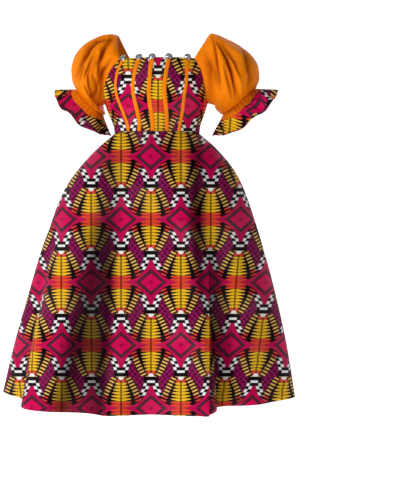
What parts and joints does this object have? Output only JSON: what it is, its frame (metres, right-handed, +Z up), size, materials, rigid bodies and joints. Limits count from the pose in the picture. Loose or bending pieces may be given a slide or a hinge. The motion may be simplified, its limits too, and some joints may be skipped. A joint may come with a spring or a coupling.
{
  "type": "midi dress",
  "caption": "Fitted midi dress with puff sleeves, frilled cuffs, stripped bodice, jewelled buttons, side pockets and a full flared skirt in wax print.",
  "frame": {"origin": "on the body's middle line, level with the shoulder points, where the wearer carries the dress", "axes": "+Z up, the dress's front faces -Y, and +X is towards the wearer's left"},
  "size_m": [0.9307, 0.8101, 1.1846],
  "materials": {
    "wax_print": "printed cotton",
    "plain_orange": "plain cotton satin",
    "jewel": "clear stone in silver metal"
  },
  "bodies": {
    "root": {"bodice_front": "wax_print", "bodice_back_left": "wax_print", "bodice_back_right": "wax_print", "skirt_front": "wax_print", "skirt_back_left": "wax_print", "skirt_back_right": "wax_print", "cuff_frill_left": "wax_print", "cuff_frill_right": "wax_print", "pocket_left": "wax_print", "pocket_right": "wax_print", "strip_1": "plain_orange", "strip_2": "plain_orange", "strip_3": "plain_orange", "strip_4": "plain_orange", "strip_5": "plain_orange", "sleeve_left": "plain_orange", "sleeve_right": "plain_orange", "cuff_flare_left": "plain_orange", "cuff_flare_right": "plain_orange", "zip": "plain_orange", "button_1": "jewel", "button_2": "jewel", "button_3": "jewel", "button_4": "jewel", "button_5": "jewel"}
  },
  "joints": []
}
